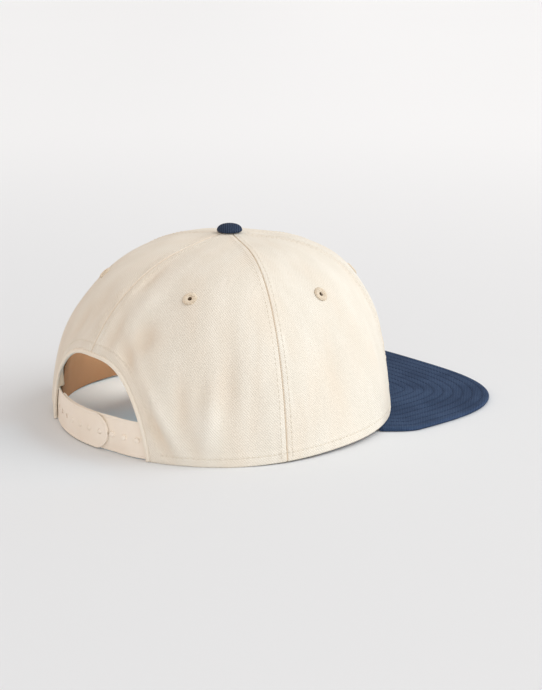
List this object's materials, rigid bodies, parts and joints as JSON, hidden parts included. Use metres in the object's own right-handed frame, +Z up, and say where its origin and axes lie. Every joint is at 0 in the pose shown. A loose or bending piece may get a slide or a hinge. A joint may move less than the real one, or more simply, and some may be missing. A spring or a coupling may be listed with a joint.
{
  "type": "flat-peak baseball cap",
  "caption": "Panelled cloth baseball cap with a flat peak, a covered top button, stitched vent eyelets and a snap strap across an arch opening at the back.",
  "frame": {"origin": "on the surface the cap rests on, under the middle of the cap's box", "axes": "+Z up, -Y the way the peak points, +X the wearer's left"},
  "size_m": [0.1954, 0.2464, 0.106],
  "materials": {
    "cream_cloth": "matte cotton twill",
    "navy_cloth": "matte cotton twill",
    "band_cloth": "soft cotton",
    "cream_thread": "satin-stitched thread",
    "cream_plastic": "soft moulded plastic, slight sheen"
  },
  "bodies": {
    "root": {"crown_panel_front_left": "cream_cloth", "crown_panel_front_right": "cream_cloth", "crown_panel_side_left": "cream_cloth", "crown_panel_side_right": "cream_cloth", "crown_panel_back_left": "cream_cloth", "crown_panel_back_right": "cream_cloth", "arch_binding": "cream_cloth", "sweatband": "band_cloth", "peak": "navy_cloth", "button": "navy_cloth", "eyelet_front_left": "cream_thread", "eyelet_front_right": "cream_thread", "eyelet_side_left": "cream_thread", "eyelet_side_right": "cream_thread", "eyelet_back_left": "cream_thread", "eyelet_back_right": "cream_thread", "strap_with_holes": "cream_plastic", "strap_with_pegs": "cream_plastic"}
  },
  "joints": []
}
